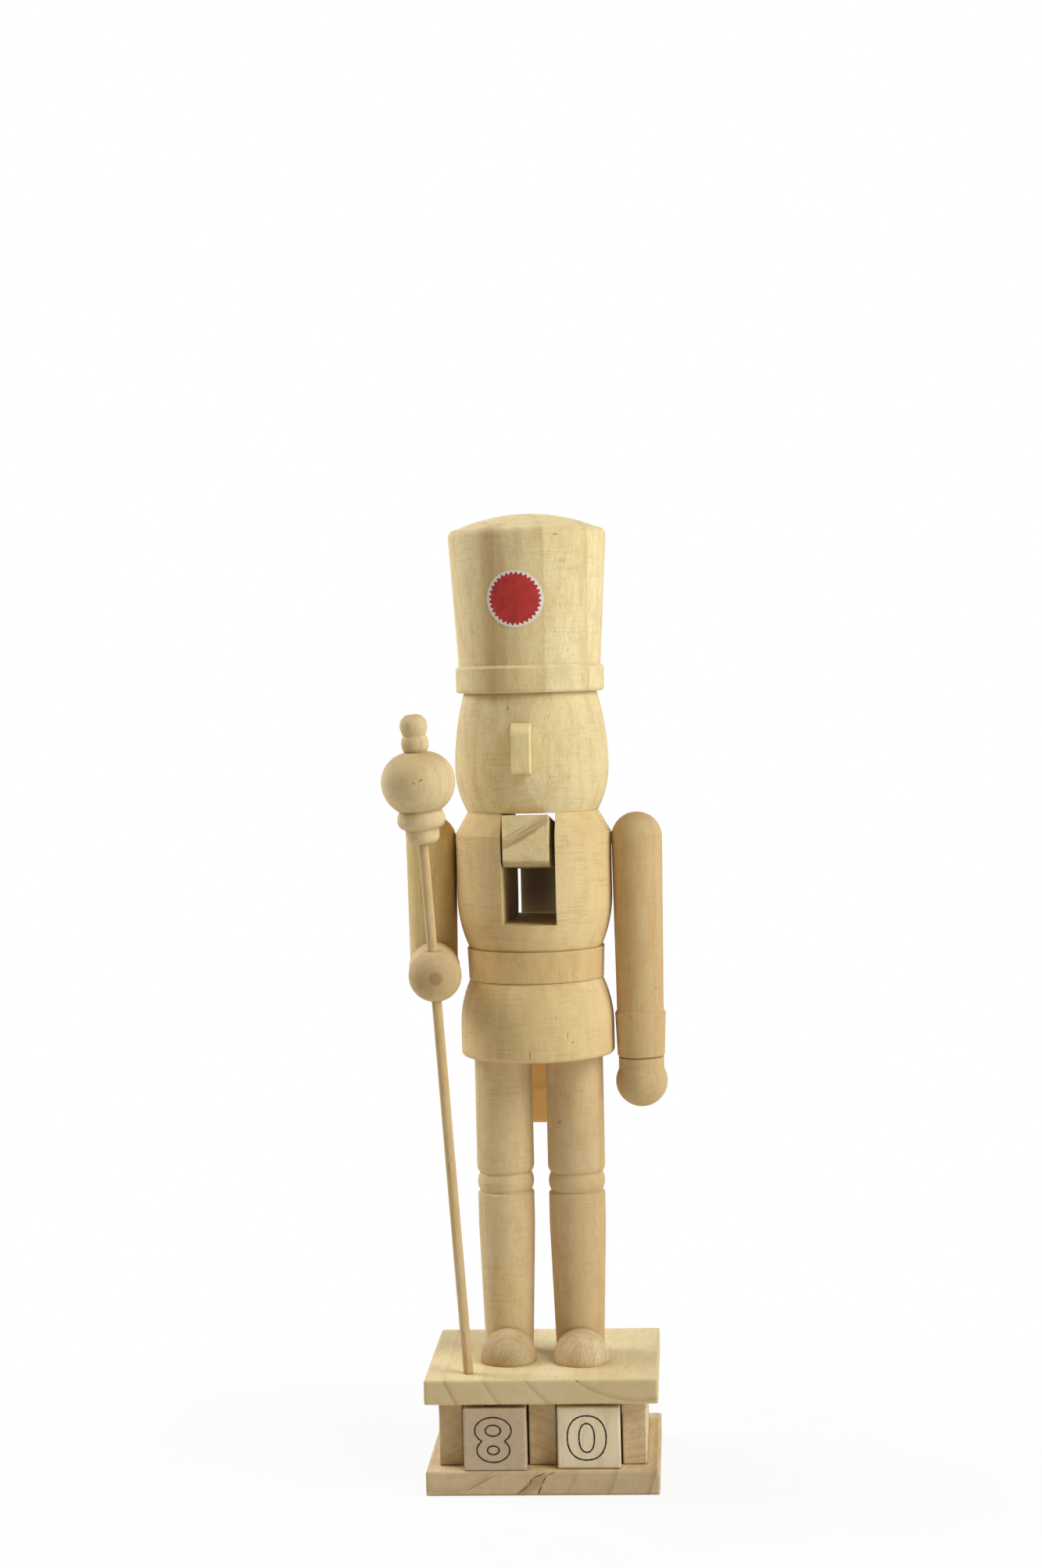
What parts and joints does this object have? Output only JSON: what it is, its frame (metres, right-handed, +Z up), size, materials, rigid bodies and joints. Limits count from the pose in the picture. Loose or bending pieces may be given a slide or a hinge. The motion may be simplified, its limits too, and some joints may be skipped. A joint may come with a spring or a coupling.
{
  "type": "nutcracker figure",
  "caption": "Unpainted turned-wood nutcracker soldier with a hinged jaw lever, a swinging arm, a lift-out staff and loose number blocks in its open base.",
  "frame": {"origin": "middle of the base's underside", "axes": "+Z up, the figure faces -Y, +X towards the figure's left (the viewer's right)"},
  "size_m": [0.1095, 0.1009, 0.39],
  "materials": {
    "pine": "bare turned softwood",
    "pale_pine": "bare sanded softwood",
    "dowel_wood": "bare dowel rod",
    "veneer": "bare thin veneer",
    "steel_pin": "plain wire nail",
    "sticker_paper": "semi-gloss paper"
  },
  "bodies": {
    "figure": {"bottom_plate": "pine", "top_plate": "pine", "left_rail": "pine", "centre_rail": "pine", "right_rail": "pine", "leg_right": "pine", "leg_left": "pine", "body": "pine", "head": "pine", "hat": "pine", "upper_arm_right": "pine", "forearm_right": "pine", "foot_right": "pale_pine", "foot_left": "pale_pine", "nose": "pale_pine", "rail_dowels": "dowel_wood", "leg_dowels": "dowel_wood", "neck_dowels": "dowel_wood", "hat_dowel": "dowel_wood", "shoulder_dowel_left": "dowel_wood", "shoulder_dowel_right": "dowel_wood", "elbow_dowel": "dowel_wood", "belt": "veneer", "jaw_pin": "steel_pin", "hat_sticker": "sticker_paper"},
    "jaw": {"jaw_lever": "pine"},
    "straight_arm": {"arm_left": "pine"},
    "staff": {"staff_rod": "dowel_wood", "staff_finial": "pale_pine"},
    "left_block": {"number_block_left": "pale_pine"},
    "right_block": {"number_block_right": "pale_pine"}
  },
  "joints": [
    {"name": "jaw_hinge", "type": "hinge", "parent": "figure", "child": "jaw", "pos_m": [0.00143, 0.01394, 0.2575], "axis": [0.9986, -0.0523, 0], "range_deg": [0, 25]},
    {"name": "arm_swing", "type": "hinge", "parent": "figure", "child": "straight_arm", "pos_m": [0.04204, -0.0022, 0.2583], "axis": [-0.9986, 0.0523, 0], "continuous": true},
    {"name": "staff_lift", "type": "slide", "parent": "figure", "child": "staff", "axis": [-0.0546, -0.0552, 0.997], "range_m": [0, 0.15]},
    {"name": "left_block_slide", "type": "slide", "parent": "figure", "child": "left_block", "axis": [0, -1, 0], "range_m": [-0.055, 0.025]},
    {"name": "right_block_slide", "type": "slide", "parent": "figure", "child": "right_block", "axis": [0, -1, 0], "range_m": [-0.055, 0.025]}
  ]
}
